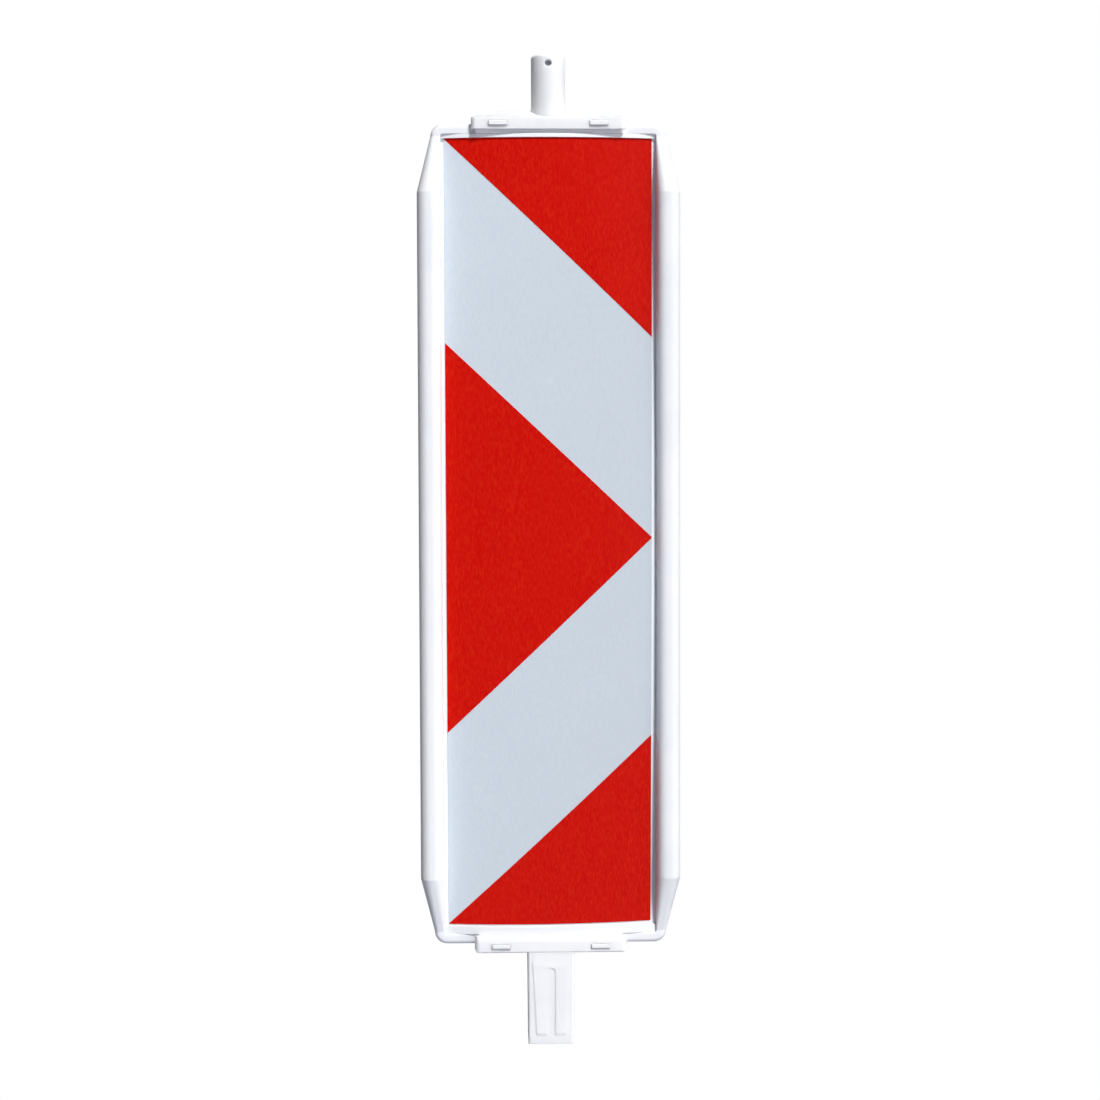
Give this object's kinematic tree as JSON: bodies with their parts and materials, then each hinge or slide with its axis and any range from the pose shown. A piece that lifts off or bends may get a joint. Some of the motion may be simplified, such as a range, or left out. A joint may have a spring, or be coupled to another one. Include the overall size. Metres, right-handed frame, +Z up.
{
  "type": "warning beacon",
  "caption": "Tall white plastic traffic beacon with rounded rails, bowed red and white arrow faces, a clip-on head with a lamp post and a clip-on foot with a spigot.",
  "frame": {"origin": "middle of the spigot, level with the shoulder of the foot clip that rests on a base plate", "axes": "+Z up the beacon, +Y out of the rear face (the front face looks along -Y), +X to the right of someone facing the front, where the arrow points"},
  "size_m": [0.3312, 0.069, 1.2544],
  "materials": {
    "frame_plastic": "white blow-moulded polyethylene, satin",
    "clip_plastic": "white injection-moulded polypropylene, satin",
    "panel_plastic": "white extruded sheet, satin",
    "latch_plastic": "white injection-moulded acetal, satin",
    "white_reflective_film": "white retroreflective sheeting, smooth, faint glass-bead grain",
    "red_reflective_film": "red retroreflective sheeting, smooth, faint glass-bead grain",
    "zinc_plated_steel": "zinc plated"
  },
  "bodies": {
    "foot": {"foot_clip": "clip_plastic"},
    "beacon": {"front_frame": "frame_plastic", "rear_frame": "frame_plastic", "frame_screws": "zinc_plated_steel", "lower_brace": "frame_plastic", "middle_brace": "frame_plastic", "upper_brace": "frame_plastic", "front_panel": "panel_plastic", "front_white_sheeting": "white_reflective_film", "front_red_top": "red_reflective_film", "front_red_arrow": "red_reflective_film", "front_red_bottom": "red_reflective_film", "rear_panel": "panel_plastic", "rear_white_sheeting": "white_reflective_film", "rear_red_top": "red_reflective_film", "rear_red_arrow": "red_reflective_film", "rear_red_bottom": "red_reflective_film"},
    "head": {"head_clip": "clip_plastic"},
    "head_latch_front_left": {"head_latch_front_left": "latch_plastic"},
    "head_latch_front_right": {"head_latch_front_right": "latch_plastic"},
    "head_latch_rear_left": {"head_latch_rear_left": "latch_plastic"},
    "head_latch_rear_right": {"head_latch_rear_right": "latch_plastic"},
    "foot_latch_front_left": {"foot_latch_front_left": "latch_plastic"},
    "foot_latch_front_right": {"foot_latch_front_right": "latch_plastic"},
    "foot_latch_rear_left": {"foot_latch_rear_left": "latch_plastic"},
    "foot_latch_rear_right": {"foot_latch_rear_right": "latch_plastic"}
  },
  "joints": [
    {"name": "foot_release", "type": "slide", "parent": "foot", "child": "beacon", "axis": [0, 0, 1], "range_m": [0, 0.06], "deforming": ["foot_latch_front_left", "foot_latch_front_right", "foot_latch_rear_left", "foot_latch_rear_right"]},
    {"name": "head_release", "type": "slide", "parent": "beacon", "child": "head", "axis": [0, 0, 1], "range_m": [0, 0.06], "deforming": ["head_latch_front_left", "head_latch_front_right", "head_latch_rear_left", "head_latch_rear_right"]},
    {"name": "head_latch_front_left_press", "type": "hinge", "parent": "beacon", "child": "head_latch_front_left", "pos_m": [-0.0194, -0.01596, 1.0489], "axis": [0, 0, -1], "range_deg": [0, 13], "stiffness_Nm_per_rad": 0.6},
    {"name": "head_latch_front_right_press", "type": "hinge", "parent": "beacon", "child": "head_latch_front_right", "pos_m": [0.0194, -0.01596, 1.0489], "axis": [0, 0, 1], "range_deg": [0, 13], "stiffness_Nm_per_rad": 0.6},
    {"name": "head_latch_rear_left_press", "type": "hinge", "parent": "beacon", "child": "head_latch_rear_left", "pos_m": [-0.0194, 0.01596, 1.0489], "axis": [0, 0, 1], "range_deg": [0, 13], "stiffness_Nm_per_rad": 0.6},
    {"name": "head_latch_rear_right_press", "type": "hinge", "parent": "beacon", "child": "head_latch_rear_right", "pos_m": [0.0194, 0.01596, 1.0489], "axis": [0, 0, -1], "range_deg": [0, 13], "stiffness_Nm_per_rad": 0.6},
    {"name": "foot_latch_front_left_press", "type": "hinge", "parent": "beacon", "child": "foot_latch_front_left", "pos_m": [-0.0194, -0.01596, 0.0105], "axis": [0, 0, -1], "range_deg": [0, 15.2], "stiffness_Nm_per_rad": 0.6},
    {"name": "foot_latch_front_right_press", "type": "hinge", "parent": "beacon", "child": "foot_latch_front_right", "pos_m": [0.0194, -0.01596, 0.0105], "axis": [0, 0, 1], "range_deg": [0, 15.2], "stiffness_Nm_per_rad": 0.6},
    {"name": "foot_latch_rear_left_press", "type": "hinge", "parent": "beacon", "child": "foot_latch_rear_left", "pos_m": [-0.0194, 0.01596, 0.0105], "axis": [0, 0, 1], "range_deg": [0, 15.2], "stiffness_Nm_per_rad": 0.6},
    {"name": "foot_latch_rear_right_press", "type": "hinge", "parent": "beacon", "child": "foot_latch_rear_right", "pos_m": [0.0194, 0.01596, 0.0105], "axis": [0, 0, -1], "range_deg": [0, 15.2], "stiffness_Nm_per_rad": 0.6}
  ]
}
